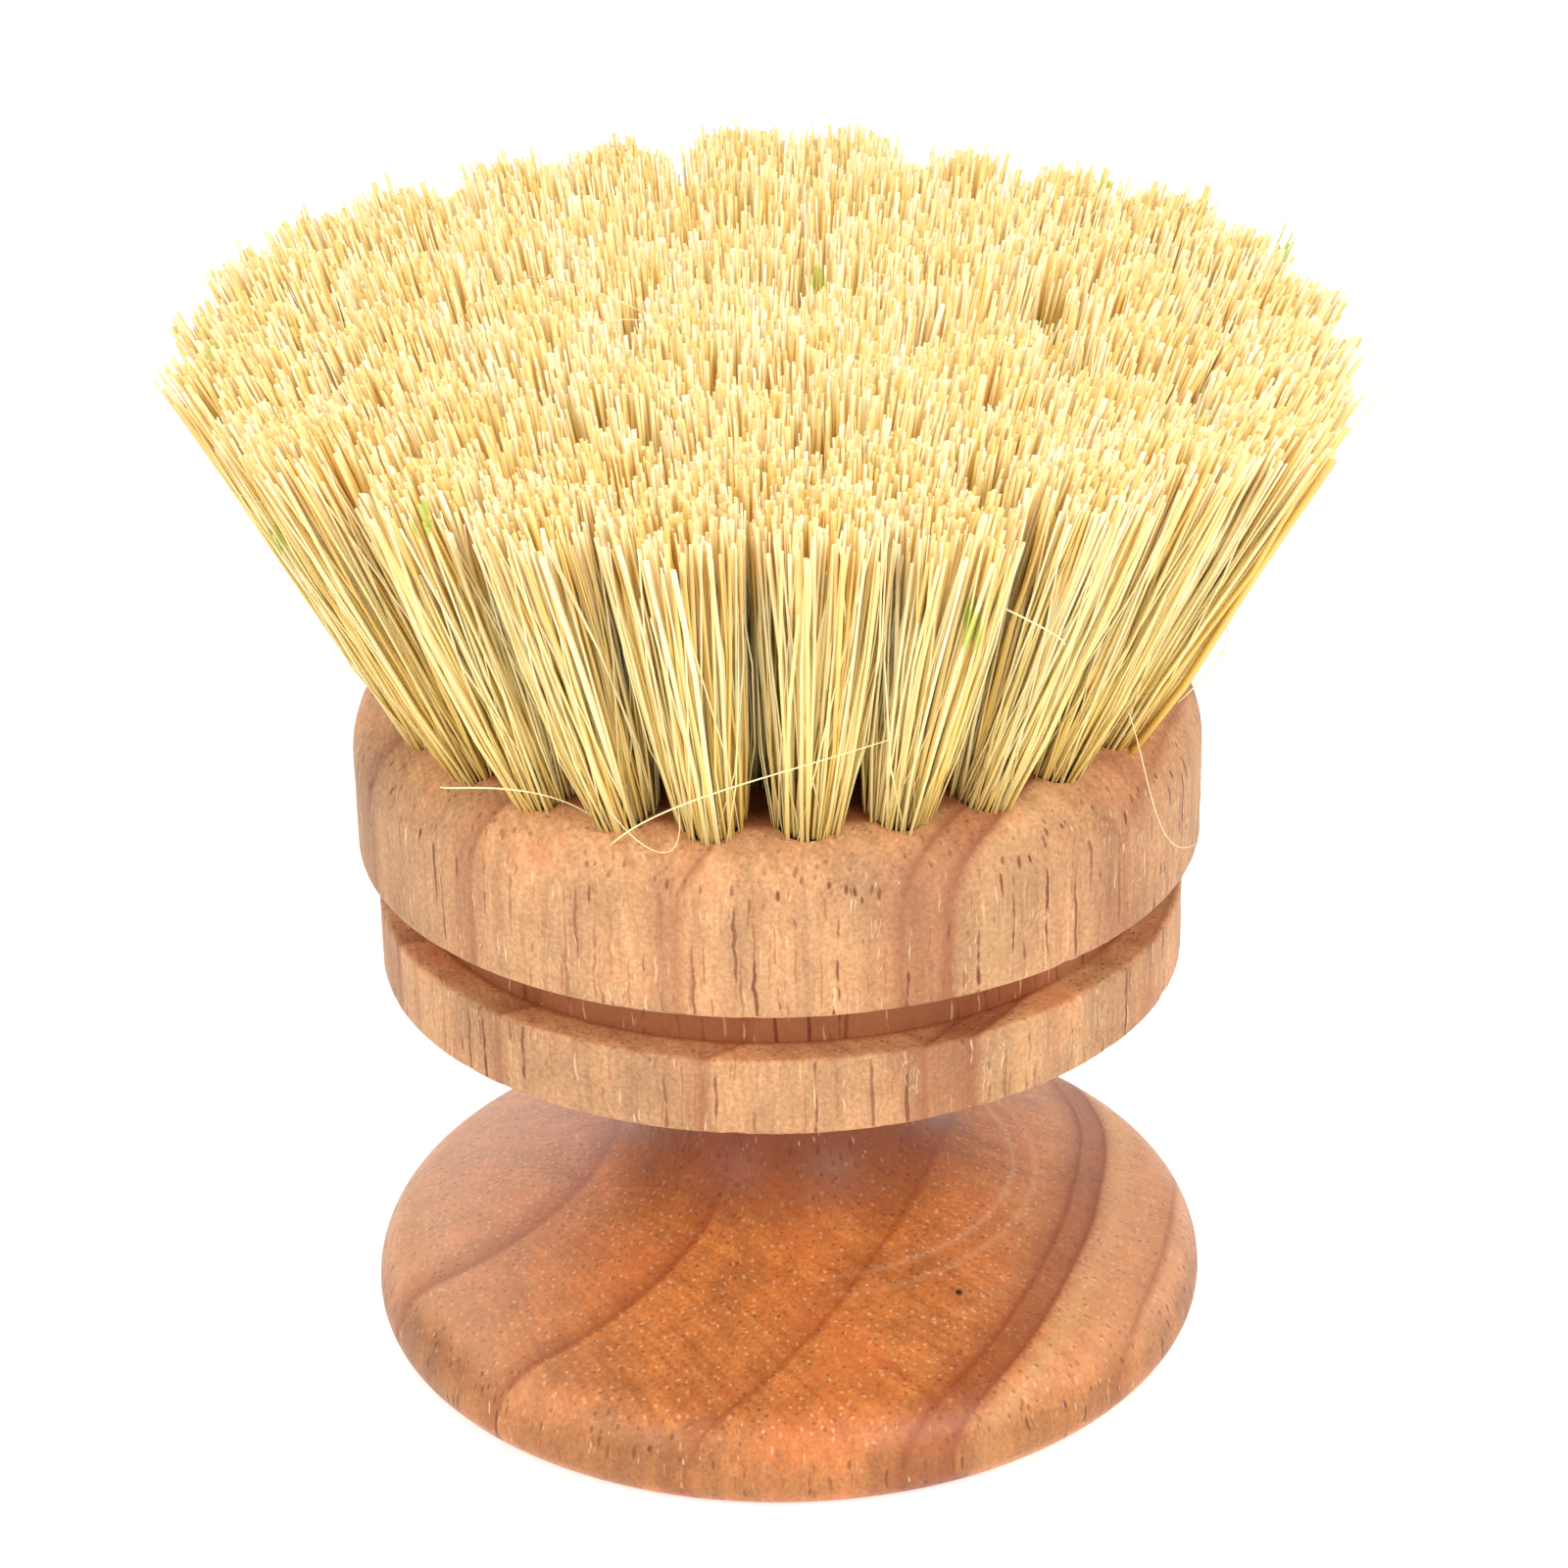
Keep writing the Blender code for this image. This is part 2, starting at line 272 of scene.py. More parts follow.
# Spots in the wood: their spacing, their stretch, their reach as a share of the spacing, and the share of
# places that have one. Pores have no stretch, because they run right through the end grain.
VESSELS = (0.48 * MM, 0.036, 0.28, 0.95)
FINE_VESSELS = (0.288 * MM, 0.036, 0.30, 0.6)
TORN_PLACES = (0.336 * MM, 0.072, 0.25, 0.5)
PORES = (0.62 * MM, 0.0, 0.20, 0.6)
SPOT_CORE = 0.6

# How the patterns act: a noise's lowest and highest value, where the warm blush lies in the blotches, how
# much the blotches count towards end grain and where it starts and is full, and the surface's relief
NOISE_RANGE = (0.3, 0.7)
BLUSH_RANGE = (0.54, 0.72)
END_GRAIN_PATCHES = 0.9
END_GRAIN_RANGE = (0.70, 1.20)
ROUGHNESS_VARIATION = 0.06
PIT_DEPTH = 1.6
GRIT_HEIGHT = 1.2
RELIEF_HEIGHT = 0.05 * MM
RELIEF_STRENGTH = 0.6

# How far the painted shade reaches out of the groove, and how far the painted shade under the flange reaches
# out of the neck
GROOVE_SHADE_REACH = 0.25 * GROOVE_DEPTH
NECK_SHADE_REACH = 0.7 * NECK_FLARE

# White studio. Each light has its place and its width in metres, and its power in watts.
WORLD_BRIGHTNESS = 0.58
FLOOR_REACH = 12.0
FLOOR_GLOW = 0.6
LIGHTS = (
    ("key_light", (0.40, -0.50, 0.45), 0.40, 3.4),
    ("fill_light", (-0.42, -0.45, 0.42), 0.40, 2.2),
    ("top_light", (0.0, 0.10, 0.75), 0.50, 1.6),
    ("back_light", (-0.10, 0.60, 0.30), 0.50, 1.2),
)

# Camera, from a perspective fit to the photograph's outlines
CAMERA_DISTANCE = 235.9 * MM
CAMERA_HEIGHT = 148.2 * MM
CAMERA_PITCH = math.radians(25.72)
CAMERA_YAW = math.radians(0.08)
CAMERA_ROLL = math.radians(-1.25)
CAMERA_LENS = 101.1
SENSOR_WIDTH = 36.0

rng = np.random.default_rng(7)


def linear(colour):
    """An sRGB hex colour as linear RGBA."""
    channels = [int(colour[start:start + 2], 16) / 255 for start in (1, 3, 5)]
    return (*(c / 12.92 if c <= 0.04045 else ((c + 0.055) / 1.055) ** 2.4 for c in channels), 1.0)


def add(tree, kind, inputs=None, **settings):
    """Adds a node with its settings. Each input is a value, or an output to link from."""
    made = tree.nodes.new(kind)
    for name, value in settings.items():
        setattr(made, name, value)
    for socket, value in (inputs or {}).items():
        if isinstance(value, bpy.types.NodeSocket):
            tree.links.new(value, made.inputs[socket])
        else:
            made.inputs[socket].default_value = value
    return made


def new_material(name):
    made = bpy.data.materials.new(name)
    made.use_nodes = True
    return made, made.node_tree, made.node_tree.nodes["Principled BSDF"]


def shifted(tree, place, size, reach):
    """The place moved about, across the grain, by a soft noise of the given size."""
    noise = add(tree, "ShaderNodeTexNoise", {"Vector": place, "Scale": 1 / size, "Detail": 1.5})
    level = add(tree, "ShaderNodeVectorMath",
                {0: noise.outputs["Color"], 1: (0.5, 0.5, 0.5)}, operation="SUBTRACT")
    return add(tree, "ShaderNodeVectorMath",
               {0: level.outputs[0], 1: (reach, reach, 0.0), 2: place},
               operation="MULTIPLY_ADD").outputs[0]


def stretched(tree, place, size, stretch):
    """The place measured in pattern cells, which are drawn out along the grain."""
    return add(tree, "ShaderNodeVectorMath",
               {0: place, 1: (1 / size, 1 / size, stretch / size)}, operation="MULTIPLY").outputs[0]


def spots(tree, place, spacing, stretch, reach, chosen):
    """Round spots at the middles of the chosen share of cells, some fainter than others."""
    cells = add(tree, "ShaderNodeTexVoronoi",
                {"Vector": stretched(tree, place, spacing, stretch), "Scale": 1.0},
                voronoi_dimensions="3D" if stretch else "2D")
    spot = add(tree, "ShaderNodeMapRange",
               {"Value": cells.outputs["Distance"], "From Min": reach, "From Max": reach * SPOT_CORE})
    pick = add(tree, "ShaderNodeSeparateColor", {0: cells.outputs["Color"]})
    picked = add(tree, "ShaderNodeMapRange",
                 {"Value": pick.outputs["Red"], "From Min": 1 - chosen, "From Max": 1.0})
    strength = add(tree, "ShaderNodeMath", {0: picked.outputs["Result"], 1: 0.5}, operation="POWER")
    return add(tree, "ShaderNodeMath",
               {0: spot.outputs["Result"], 1: strength.outputs[0]}, operation="MULTIPLY").outputs[0]


def streaky_noise(tree, place, size, stretch):
    """A rough noise that is drawn out along the grain."""
    return add(tree, "ShaderNodeTexNoise",
               {"Vector": stretched(tree, place, size, stretch), "Scale": 0.5, "Detail": 3.0,
                "Roughness": 0.6}).outputs["Fac"]


def bands(tree, distance, stops_at):
    """How strong a band is at each distance, from stops in millimetres."""
    share = add(tree, "ShaderNodeMath", {0: distance, 1: RINGS_SEEN_TO * MM}, operation="DIVIDE")
    ramp = add(tree, "ShaderNodeValToRGB", {"Fac": share.outputs[0]})
    stops = ramp.color_ramp.elements
    stops[1].position = 0.999
    stops[0].color = stops[1].color = linear("#000000")
    for at, level in stops_at:
        stops.new(at / RINGS_SEEN_TO).color = (level, level, level, 1.0)
    return ramp.outputs["Color"]


def near_to(tree, place, spot, reach, core):
    """A mask that is full within the core round a spot, and fades to nothing at its reach."""
    away = add(tree, "ShaderNodeVectorMath", {0: place, 1: spot}, operation="DISTANCE")
    return add(tree, "ShaderNodeMapRange",
               {"Value": away.outputs["Value"], "From Min": reach, "From Max": core}).outputs["Result"]


def wood_places(tree):
    """The place in the blank, the same place as the rings drift, and again as the vessels wander."""
    place = add(tree, "ShaderNodeTexCoord").outputs["Object"]
    squeezed = add(tree, "ShaderNodeVectorMath",
                   {0: place, 1: (1.0, 1.0, DRIFT_STRETCH)}, operation="MULTIPLY").outputs[0]
    drifted = add(tree, "ShaderNodeVectorMath",
                  {0: shifted(tree, squeezed, DRIFT_SIZE, RING_DRIFT), 1: (1.0, 1.0, 1 / DRIFT_STRETCH)},
                  operation="MULTIPLY").outputs[0]
    return place, drifted, shifted(tree, drifted, WANDER_SIZE, WANDER)


def flat_distance(tree, offset):
    """The part of an offset that lies across the grain, and its length."""
    across = add(tree, "ShaderNodeVectorMath", {0: offset, 1: (1.0, 1.0, 0.0)}, operation="MULTIPLY")
    length = add(tree, "ShaderNodeVectorMath", {0: across.outputs[0]}, operation="LENGTH")
    return across.outputs[0], length.outputs["Value"]


def wood_rays(tree, across, distance):
    """Fine lines in the end grain that run out from the pith."""
    sides = add(tree, "ShaderNodeSeparateXYZ", {0: across})
    angle = add(tree, "ShaderNodeMath",
                {0: sides.outputs["Y"], 1: sides.outputs["X"]}, operation="ARCTAN2")
    ray_number = add(tree, "ShaderNodeMath",
                     {0: angle.outputs[0], 1: RINGS_SEEN_TO / 2 * MM / RAY_WIDTH}, operation="MULTIPLY")
    along = add(tree, "ShaderNodeMath", {0: distance, 1: RAY_LENGTH}, operation="DIVIDE")
    ray_place = add(tree, "ShaderNodeCombineXYZ", {"X": ray_number.outputs[0], "Y": along.outputs[0]})
    return add(tree, "ShaderNodeTexNoise", {"Vector": ray_place.outputs[0], "Scale": 0.5, "Detail": 2.0},
               noise_dimensions="2D").outputs["Fac"]


def end_grain_mask(tree, blotch):
    """How much a place shows end grain: where the surface faces up or down, with an uneven border."""
    upright = add(tree, "ShaderNodeSeparateXYZ",
                  {0: add(tree, "ShaderNodeNewGeometry").outputs["Normal"]}).outputs["Z"]
    facing_up = add(tree, "ShaderNodeMath", {0: upright}, operation="ABSOLUTE")
    patchy = add(tree, "ShaderNodeMath", {0: blotch, 1: END_GRAIN_PATCHES, 2: facing_up.outputs[0]},
                 operation="MULTIPLY_ADD")
    low, high = END_GRAIN_RANGE
    return add(tree, "ShaderNodeMapRange",
               {"Value": patchy.outputs[0], "From Min": low, "From Max": high},
               interpolation_type="SMOOTHSTEP").outputs["Result"]


def toned(tree, painted, tones):
    """The colour made darker and lighter by each noise in turn."""
    low, high = NOISE_RANGE
    for noise, darkest, lightest in tones:
        tone = add(tree, "ShaderNodeMapRange",
                   {"Value": noise, "From Min": low, "From Max": high,
                    "To Min": darkest, "To Max": lightest})
        painted = add(tree, "ShaderNodeVectorMath",
                      {0: painted, "Scale": tone.outputs["Result"]}, operation="SCALE").outputs[0]
    return painted


def painted_over(tree, painted, end_grain, layers):
    """Each layer's colour laid over the last by its mask, with one cover on walls and one on end grain."""
    for mask, on_wall, on_end, colour in layers:
        strength = add(tree, "ShaderNodeMapRange", {"Value": end_grain, "To Min": on_wall, "To Max": on_end})
        cover = add(tree, "ShaderNodeMath",
                    {0: mask, 1: strength.outputs["Result"]}, operation="MULTIPLY")
        painted = add(tree, "ShaderNodeMix",
                      {"Factor": cover.outputs[0], "A": painted, "B": linear(colour)},
                      data_type="RGBA").outputs["Result"]
    return painted


def wood_relief(tree, vessels, grain, grit, coat):
    """The surface's normal, with pits where vessels lie open, and grit that a coat smooths over."""
    pits = add(tree, "ShaderNodeMath", {0: vessels, 1: -PIT_DEPTH, 2: grain}, operation="MULTIPLY_ADD")
    relief = add(tree, "ShaderNodeMath",
                 {0: grit, 1: GRIT_HEIGHT * (1 - coat), 2: pits.outputs[0]}, operation="MULTIPLY_ADD")
    return add(tree, "ShaderNodeBump",
               {"Height": relief.outputs[0], "Strength": RELIEF_STRENGTH,
                "Distance": RELIEF_HEIGHT}).outputs["Normal"]


def turned_hardwood(name, wall_colours, end_colours, line_colour, recess_shade, sheen_cover, pore_cover,
                    roughness, coat):
    """Pale diffuse-porous hardwood with its grain up the axis. The turned walls are pale, with upright
    dashes where vessels lie open. The end grain is darker, with rays and dots of filled pores."""
    made, tree, surface = new_material(name)
    place, drifted, wandering = wood_places(tree)
    from_pith = add(tree, "ShaderNodeVectorMath", {0: drifted, 1: (*PITH, 0.0)}, operation="SUBTRACT")
    across, distance = flat_distance(tree, from_pith.outputs[0])
    from_axis = flat_distance(tree, place)[1]
    side = add(tree, "ShaderNodeSeparateXYZ", {0: place}).outputs["X"]

    late_wood = bands(tree, distance, GROWTH_RINGS)
    pale_band = bands(tree, distance, PALE_BAND)
    one_sided = add(tree, "ShaderNodeMapRange", {"Value": side, "From Min": 0.0, "From Max": TOOL_MARKS_FADE})
    tool_marks = add(tree, "ShaderNodeMath",
                     {0: bands(tree, from_axis, TOOL_MARKS), 1: one_sided.outputs["Result"]},
                     operation="MULTIPLY").outputs[0]
    rays = wood_rays(tree, across, distance)
    blotch = add(tree, "ShaderNodeTexNoise",
                 {"Vector": drifted, "Scale": 1 / BLOTCH_SIZE, "Detail": 3.0}).outputs["Fac"]
    end_grain = end_grain_mask(tree, blotch)

    vessels, fine_vessels, pores, torn = (
        spots(tree, wandering, *sizes) for sizes in (VESSELS, FINE_VESSELS, PORES, TORN_PLACES)
    )
    grain = streaky_noise(tree, wandering, GRAIN_WIDTH, GRAIN_STRETCH)
    streaks = streaky_noise(tree, wandering, STREAK_WIDTH, GRAIN_STRETCH)
    grit = streaky_noise(tree, wandering, GRIT_SIZE, 1.0)

    # Painted shade: the wood is painted darker towards the axis, in the groove or round the neck under the
    # flange
    near, far, shade_colour = recess_shade
    shaded = add(tree, "ShaderNodeMapRange",
                 {"Value": from_axis, "From Min": far, "From Max": near},
                 interpolation_type="SMOOTHSTEP").outputs["Result"]
    blush = add(tree, "ShaderNodeMapRange",
                {"Value": blotch, "From Min": BLUSH_RANGE[0], "From Max": BLUSH_RANGE[1]}).outputs["Result"]
    # Painted sheen: the knob is paler towards its left and right, for the coat's haze seen at its sides
    sideways = add(tree, "ShaderNodeMath", {0: side}, operation="ABSOLUTE")
    paler = add(tree, "ShaderNodeMapRange",
                {"Value": sideways.outputs[0], "From Min": SHEEN_SIDES[0], "From Max": SHEEN_SIDES[1]},
                interpolation_type="SMOOTHSTEP").outputs["Result"]
    red_patch = near_to(tree, drifted, RED_PATCH, RED_PATCH_REACH, 0.0)
    knot = near_to(tree, place, KNOT, KNOT_RADIUS, KNOT_RADIUS / 2)

    wall, end = (
        add(tree, "ShaderNodeMix", {"Factor": pattern, "A": linear(dark), "B": linear(light)},
            data_type="RGBA").outputs["Result"]
        for pattern, (dark, light) in ((grain, wall_colours), (rays, end_colours))
    )
    wood = add(tree, "ShaderNodeMix", {"Factor": end_grain, "A": wall, "B": end}, data_type="RGBA")
    painted = toned(tree, wood.outputs["Result"], (
        (blotch, 0.78, 1.14),
        (streaks, 0.80, 1.16),
        (grit, 0.77, 1.22),
    ))
    painted = painted_over(tree, painted, end_grain, (
        (blush, 0.12, 0.40, "#BC5F30"),
        # painted sheen on the knob's left and right
        (paler, 0.0, sheen_cover, "#E2B48C"),
        (red_patch, 0.10, 0.65, "#BE5A30"),
        (pores, 0.0, pore_cover, "#F2C898"),
        # painted shade in the groove or round the neck
        (shaded, 0.80, 0.85, shade_colour),
        (late_wood, 0.66, 0.84, line_colour),
        (pale_band, 0.12, 0.30, "#E9BC80"),
        (tool_marks, 0.0, 0.24, "#F4CBA0"),
        (torn, 0.46, 0.0, "#F4D6AE"),
        (fine_vessels, 0.60, 0.25, "#9C4F25"),
        (vessels, 0.92, 0.35, "#6A2A10"),
        (knot, 0.95, 0.95, "#2A1408"),
    ))
    tree.links.new(painted, surface.inputs["Base Color"])

    rough = add(tree, "ShaderNodeMapRange",
                {"Value": grain, "From Min": NOISE_RANGE[0], "From Max": NOISE_RANGE[1],
                 "To Min": roughness - ROUGHNESS_VARIATION,
                 "To Max": roughness + ROUGHNESS_VARIATION})
    tree.links.new(rough.outputs["Result"], surface.inputs["Roughness"])
    surface.inputs["Specular IOR Level"].default_value = 0.38
    surface.inputs["Coat Weight"].default_value = coat
    surface.inputs["Coat Roughness"].default_value = 0.32

    tree.links.new(wood_relief(tree, vessels, grain, grit, coat), surface.inputs["Normal"])
    return made


def bare_hardwood():
    """Sanded and left bare: dry, matt and a little fuzzy. Painted shade darkens the groove and the face
    inside it.
    """
    return turned_hardwood(
        "turned_bare_hardwood",
        wall_colours=("#AC7345", "#D0A376"),
        end_colours=("#BC7C4A", "#DCAA7A"),
        line_colour="#86401E",
        # painted shade in the groove and on the face inside it
        recess_shade=(GROOVE_FLOOR, GROOVE_FLOOR + GROOVE_SHADE_REACH, "#99532C"),
        sheen_cover=0.0,
        pore_cover=0.26,
        roughness=0.62,
        coat=0.0,
    )


def sealed_hardwood():
    """The knob's oiled and polished wood: the oil deepens the end grain to orange under a satin
    shine. Painted shade darkens it round the neck, under the flange."""
    return turned_hardwood(
        "turned_oiled_hardwood",
        wall_colours=("#A0602E", "#BE7E46"),
        end_colours=("#B4602A", "#D88A4A"),
        line_colour="#86380F",
        # painted shade round the neck, under the flange
        recess_shade=(NECK_RADIUS, NECK_RADIUS + NECK_SHADE_REACH, "#7C3408"),
        # painted sheen on the knob's left and right sides
        sheen_cover=0.45,
        pore_cover=0.46,
        roughness=0.46,
        coat=0.12,
    )


def fuzz_fibre():
    """Torn wood fibre, paler and duller than the wood it stands on."""
    made, tree, surface = new_material("torn_wood_fibre")
    place = add(tree, "ShaderNodeTexCoord").outputs["Object"]
    patches = add(tree, "ShaderNodeTexNoise", {"Vector": place, "Scale": 1 / BLOTCH_SIZE})
    colour = add(tree, "ShaderNodeMix",
                 {"Factor": patches.outputs["Fac"], "A": linear("#DDB080"), "B": linear("#F2D5AC")},
                 data_type="RGBA")
    tree.links.new(colour.outputs["Result"], surface.inputs["Base Color"])
    surface.inputs["Roughness"].default_value = 0.7
    return made


def fibre_colour(tree, stored, colours):
    """The colour that goes with a value stored on the fibres, from stops of value and colour."""
    value = add(tree, "ShaderNodeAttribute", attribute_name=stored)
    ramp = add(tree, "ShaderNodeValToRGB", {"Fac": value.outputs["Fac"]})
    stops = ramp.color_ramp.elements
    (_, first), *between, (_, last) = colours
    stops[0].color, stops[1].color = linear(first), linear(last)
    for at, colour in between:
        stops.new(at).color = linear(colour)
    return ramp.outputs["Color"]


def plant_fibre():
    """Stiff dried leaf fibre, combed and trimmed: straw yellow, from golden to nearly white, darker and
    greener towards the holes, partly its own tint and partly painted shade, with a few places where the
    leaf kept its green."""
    made, tree, surface = new_material("combed_plant_fibre")
    kinds = fibre_colour(tree, "tone", (
        (0.0, "#F0C878"), (0.10, "#F5D990"), (0.40, "#FAE8B2"), (0.85, "#FCF1CE"), (1.0, "#FDF8E0"),
    ))
    # Along each fibre: darker and greener at the root, partly its own tint and partly painted shade near the
    # holes; cream at the cut tips
    parts = fibre_colour(tree, "along", (
        (0.0, "#E4D096"), (0.30, "#F9EFC6"), (0.7, "#FFFAE2"), (0.92, "#FFF3D8"), (1.0, "#FFFAF0"),
    ))
    painted = add(tree, "ShaderNodeMix", {"Factor": 1.0, "A": kinds, "B": parts},
                  data_type="RGBA", blend_type="MULTIPLY").outputs["Result"]

    place = add(tree, "ShaderNodeTexCoord").outputs["Object"]
    for spot, half_length in GREEN_SPOTS:
        away = add(tree, "ShaderNodeVectorMath",
                   {0: place, 1: tuple(at * MM for at in spot)}, operation="SUBTRACT")
        reach = (*GREEN_SPOT_REACH, half_length * MM)
        measured = add(tree, "ShaderNodeVectorMath",
                       {0: away.outputs[0], 1: tuple(1 / length for length in reach)},
                       operation="MULTIPLY")
        cover = near_to(tree, measured.outputs[0], (0.0, 0.0, 0.0), 1.0, GREEN_SPOT_EDGE)
        covered = add(tree, "ShaderNodeMath", {0: cover, 1: GREEN_SPOT_COVER}, operation="MULTIPLY")
        painted = add(tree, "ShaderNodeMix",
                      {"Factor": covered.outputs[0], "A": painted, "B": linear("#BAC64E")},
                      data_type="RGBA").outputs["Result"]
    tree.links.new(painted, surface.inputs["Base Color"])
    surface.inputs["Roughness"].default_value = 0.5
    surface.inputs["Specular IOR Level"].default_value = 0.2
    return made


def arc(centre_radius, centre_height, radius, start, end):
    """Points of a turned profile along a round stretch, with the angles in degrees."""
    steps = max(3, round(radius * math.radians(abs(end - start)) / ARC_STEP))
    angles = [math.radians(start + (end - start) * step / steps) for step in range(steps + 1)]
    return [
        (centre_radius + radius * math.cos(angle), centre_height + radius * math.sin(angle))
        for angle in angles
    ]


def body_profile():
    """The turned outline from the middle of the face down to the middle of the foot."""
    slope = math.degrees(KNOB_TOP_SLOPE)
    shoulder = HEAD_SHOULDER_ROUNDING
    edge = EDGE_ROUNDING
    knob_edge = KNOB_RADIUS - KNOB_SHOULDER_ROUNDING
    rim_end = knob_edge + KNOB_SHOULDER_ROUNDING * math.sin(KNOB_TOP_SLOPE)
    rim_height = KNOB_FOOT_ROUNDING + KNOB_SHOULDER_ROUNDING * math.cos(KNOB_TOP_SLOPE)
    flare_end = NECK_RADIUS + NECK_FLARE * (1 - math.sin(KNOB_TOP_SLOPE))
    flare_height = (rim_height + (rim_end - flare_end) * math.tan(KNOB_TOP_SLOPE)
                    + NECK_FLARE * math.cos(KNOB_TOP_SLOPE))
    return [
        (0.0, HEAD_TOP),
        *arc(HEAD_RADIUS - shoulder, HEAD_TOP - shoulder, shoulder, 90, 0),
        *arc(HEAD_RADIUS - edge, GROOVE_TOP + edge, edge, 0, -90),
        (GROOVE_FLOOR, GROOVE_TOP),
        (GROOVE_FLOOR, FLANGE_TOP),
        *arc(FLANGE_RADIUS - edge, FLANGE_TOP - edge, edge, 90, 0),
        *arc(FLANGE_RADIUS - edge, FLANGE_BOTTOM + edge, edge, 0, -90),
        *arc(NECK_RADIUS + NECK_FILLET, FLANGE_BOTTOM - NECK_FILLET, NECK_FILLET, 90, 180),
        *arc(NECK_RADIUS + NECK_FLARE, flare_height, NECK_FLARE, 180, 270 - slope),
        *arc(knob_edge, KNOB_FOOT_ROUNDING, KNOB_SHOULDER_ROUNDING, 90 - slope, 0),
        *arc(KNOB_RADIUS - KNOB_FOOT_ROUNDING, KNOB_FOOT_ROUNDING, KNOB_FOOT_ROUNDING, 0, -90)[1:],
        (0.0, 0.0),
    ]


def evenly(profile):
    """The profile with its long straight stretches divided."""
    points = [profile[0]]
    for (r0, z0), (r1, z1) in zip(profile, profile[1:]):
        steps = max(1, round(math.hypot(r1 - r0, z1 - z0) / FLAT_STEP))
        points += [(r0 + (r1 - r0) * k / steps, z0 + (z1 - z0) * k / steps) for k in range(1, steps + 1)]
    return np.array(points)


def revolved(name, profile):
    """A closed solid of revolution whose first and last points lie on the axis."""
    turns = np.arange(BODY_SIDES) * 2 * math.pi / BODY_SIDES
    inner = profile[1:-1]
    verts = np.stack([
        np.outer(inner[:, 0], np.cos(turns)),
        np.outer(inner[:, 0], np.sin(turns)),
        np.repeat(inner[:, 1, None], BODY_SIDES, 1),
    ], -1).reshape(-1, 3)
    rows = len(inner)
    here = np.arange(BODY_SIDES)
    after = (here + 1) % BODY_SIDES
    faces = []
    for row in range(rows - 1):
        top, low = row * BODY_SIDES, (row + 1) * BODY_SIDES
        faces += np.stack([top + here, low + here, low + after, top + after], -1).tolist()
    faces.append(here.tolist())
    faces.append(((rows - 1) * BODY_SIDES + here[::-1]).tolist())
    mesh = bpy.data.meshes.new(name)
    mesh.from_pydata(verts, [], faces)
    return mesh


def worn(mesh):
    """Tool ripple over the whole body, and small chips along its sharp edges."""
    co = np.zeros(len(mesh.vertices) * 3)
    mesh.vertices.foreach_get("co", co)
    co = co.reshape(-1, 3)
    radius = np.hypot(co[:, 0], co[:, 1])
    turn = np.arctan2(co[:, 1], co[:, 0])
    column = np.round(turn / (2 * math.pi) * BODY_SIDES).astype(int) % BODY_SIDES
    dent = np.zeros(len(co))
    for edge_radius, edge_height, depth in CHIPPED_EDGES:
        chips = np.clip(rng.normal(CHIP_MEAN, CHIP_VARIATION, BODY_SIDES), 0, CHIP_MOST)
        chips = (chips + np.roll(chips, 1) * CHIP_SPILL) / (1 + CHIP_SPILL)
        near = np.hypot(radius - edge_radius, co[:, 2] - edge_height)
        dent += depth * CHIP_DEPTH * chips[column] * np.exp(-(near / CHIP_REACH) ** 2)
    height = co[:, 2] / MM
    ripple = (np.sin(height * RIPPLES_PER_MM) + np.sin(turn * RIPPLE_LOBES + height)) / 2
    ripple[co[:, 2] < KNOB_FOOT_ROUNDING] = 0
    dent += TOOL_RIPPLE * np.clip(ripple, 0, 1)
    co[:, :2] *= (1 - dent / np.maximum(radius, MM))[:, None]
    mesh.vertices.foreach_set("co", co.ravel())


def ring_radius(ring):
    return HEAD_RADIUS - RING_INSET - ring * RING_SPACING


def ring_lean(ring):
    return math.atan(math.tan(OUTER_LEAN) * ring_radius(ring) / ring_radius(0))


def face_height(radius):
    past_flat = max(0.0, radius - (HEAD_RADIUS - HEAD_SHOULDER_ROUNDING))
    return HEAD_TOP - HEAD_SHOULDER_ROUNDING + math.sqrt(HEAD_SHOULDER_ROUNDING**2 - past_flat**2)


def tuft_frame(ring, index):
    """The matrix that takes a tuft's own space, with its axis along +Z, to its hole's mouth."""
    turn = RING_TURNS[ring] + 2 * math.pi * index / RING_COUNTS[ring]
    mouth = Matrix.Translation((ring_radius(ring), 0, face_height(ring_radius(ring))))
    return Matrix.Rotation(turn, 4, "Z") @ mouth @ Matrix.Rotation(ring_lean(ring), 4, "Y")


def tufts():
    """Each tuft's ring and its number round the ring."""
    for ring, count in enumerate(RING_COUNTS):
        for index in range(count):
            yield ring, index


def hole_cutters():
    """All the drilled holes as one helper, which reaches a little above the face."""
    shape = bmesh.new()
    middle = Matrix.Translation((0, 0, (CUTTER_OVERRUN - HOLE_DEPTH) / 2))
    for ring, index in tufts():
        bmesh.ops.create_cone(shape, cap_ends=True, segments=HOLE_SIDES, radius1=HOLE_RADIUS,
                              radius2=HOLE_RADIUS, depth=HOLE_DEPTH + CUTTER_OVERRUN,
                              matrix=tuft_frame(ring, index) @ middle)
    mesh = bpy.data.meshes.new("holes")
    shape.to_mesh(mesh)
    shape.free()
    return bpy.data.objects.new("holes", mesh)


def shown(name, mesh, material):
    """Shows a mesh as a piece of the brush, which rides on its one body."""
    made = bpy.data.objects.new(name, mesh)
    bpy.context.scene.collection.objects.link(made)
    mesh.materials.clear()
    mesh.materials.append(material)
    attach(made, "root")
    return made


